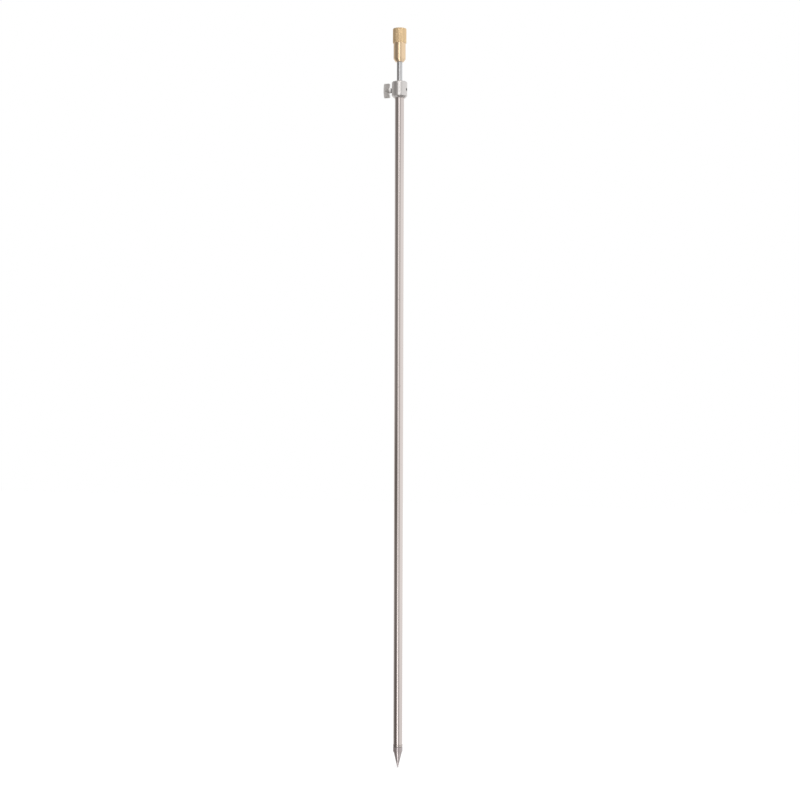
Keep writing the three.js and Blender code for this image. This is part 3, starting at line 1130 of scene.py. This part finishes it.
fit(stud, zinc, "thumb_screw", "thumb_screw_stud")

# %% [markdown]
# ## The wing
#
# The wing is a small casting: a flat blade for the fingers, and a hub that swells out of it and narrows
# to a neck. The blade's outer edge is one long curve. Its inner edge has a rounded lobe at each side, and
# only one half of that edge is drawn, because the other half is its mirror image.

# %% Blade outline
WING_SPAN, WING_THICKNESS, WING_DEPTH = 15.6, 3.0, 6.25
LOBE_OUTER, LOBE_INNER, LOBE_STEP = 6.6, 3.6, 1.2
wing_inner = wing_outer - WING_DEPTH


def curve(start, pull, end, steps=8):
    """Points on a curve from start to end that bends towards pull. The start isn't repeated."""
    found = []
    for step in range(1, steps + 1):
        t = step / steps
        found.append(
            tuple((1 - t) ** 2 * a + 2 * t * (1 - t) * b + t * t * c for a, b, c in zip(start, pull, end))
        )
    return found


half = WING_SPAN / 2
blade_inner, blade_outer = wing_inner - 0.7, wing_outer - 0.7
corner = (-half, blade_inner + 0.8)
lobe = (-LOBE_OUTER, blade_inner)
blade_outline = [(-half, blade_outer), corner]
blade_outline += curve(corner, (-half, blade_inner), lobe)
blade_outline += curve(lobe, (-LOBE_INNER, blade_inner), (-LOBE_INNER, blade_inner + LOBE_STEP))
blade_outline += [(-x, y) for x, y in reversed(blade_outline[1:])]
blade_outline += [(half, blade_outer)]
blade_outline += curve((half, blade_outer), (0, wing_outer + 0.7), (-half, blade_outer), 16)[:-1]
print("blade outline:", len(blade_outline), "points")

# %% [markdown]
# A casting has no hard inner corners, because the metal has to flow. Blade and hub are made as two
# overlapping shapes, a voxel remesh melts them into one skin, and smoothing rounds every edge and fills
# the corners. A bore for the stud is then taken out of the neck.

# %% Wing
VOXEL = 0.12

count = len(blade_outline)
blade_sides = (-WING_THICKNESS / 2 * MM, WING_THICKNESS / 2 * MM)
blade_points = [(x * MM, side, y * MM) for side in blade_sides for x, y in blade_outline]
blade_faces = [tuple(range(count)), tuple(range(2 * count - 1, count - 1, -1))]
blade_faces += [(k, k + count, (k + 1) % count + count, (k + 1) % count) for k in range(count)]
hub_outline = [
    (0, wing_neck),
    (2.7, wing_neck),
    (3.0, wing_inner),
    (2.1, wing_inner + 1.9),
    (1.8, wing_inner + 3.6),
    (1.45, wing_outer - 1.4),
    (0, wing_outer - 0.8),
]
wing = turned("wing", eased(hub_outline, 0.5, 4), 64)
hub_points = [tuple(v.co) for v in wing.data.vertices]
hub_faces = [tuple(p.vertices) for p in wing.data.polygons]
offset = len(hub_points)
blade_faces = [tuple(k + offset for k in face) for face in blade_faces]
melted = bpy.data.meshes.new("wing")
melted.from_pydata(hub_points + blade_points, [], hub_faces + blade_faces)
wing.data = melted
remesh = wing.modifiers.new("melt", "REMESH")
remesh.mode, remesh.voxel_size = "VOXEL", VOXEL * MM
smooth = wing.modifiers.new("round", "SMOOTH")
smooth.factor, smooth.iterations = 0.5, 9
settle(wing)
drill(wing, plug(SHANK_RADIUS + 0.1, wing_neck - 1, stud_end + 0.1), HOLE_FACETS)
wing.data.transform(laid_over(-1, clamp_height))
fit(wing, plated_casting, "thumb_screw", "thumb_screw_wing")

# %% [markdown]
# ## The pieces inside
#
# The guide bushes, the foot screw and the clamp pad sit inside the tube and the collar. Their CAD shapes
# are already right, so they stay and only get their finishes.

# %% Inner pieces
for name, finish in (("top_bush", nylon), ("foot_bush", nylon), ("foot_screw", zinc), ("clamp_pad", brass)):
    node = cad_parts[name]
    node.data.materials.clear()
    node.data.materials.append(finish)
    print(name, "finished with", finish.name)

# %% [markdown]
# ## Last update
#
# The dressed stick must be the size of the CAD model. The last line brings the scene up to date.

# %% Last line
bpy.context.view_layer.update()
